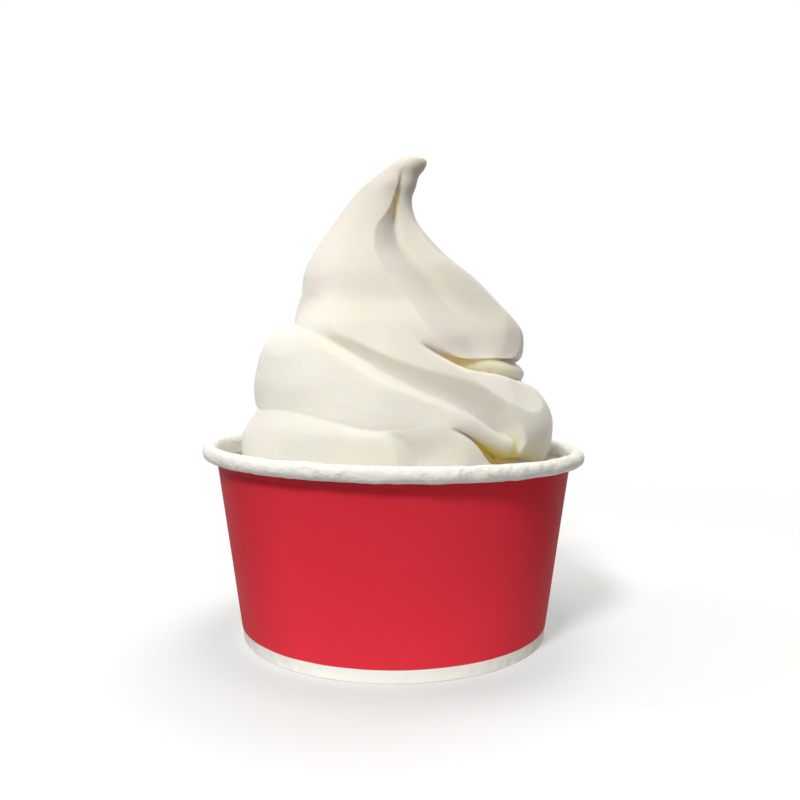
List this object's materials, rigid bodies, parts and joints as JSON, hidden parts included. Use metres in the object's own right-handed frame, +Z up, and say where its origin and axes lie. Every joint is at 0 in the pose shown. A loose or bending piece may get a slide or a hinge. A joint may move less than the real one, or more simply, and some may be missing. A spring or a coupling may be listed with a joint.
{
  "type": "paper sundae cup",
  "caption": "Squat paper cup with a rolled rim, red wall and white base band, filled with a leaning swirl of vanilla soft serve.",
  "frame": {"origin": "centre of the base, on the table", "axes": "+Z up through the cup, -Y towards the front, +X to the right of someone looking at the front"},
  "size_m": [0.092, 0.092, 0.1164],
  "materials": {
    "printed_board": "satin",
    "plain_board": "satin",
    "soft_serve": "satin"
  },
  "bodies": {
    "root": {"sidewall": "printed_board", "bottom_disc": "plain_board", "soft_serve": "soft_serve"}
  },
  "joints": []
}
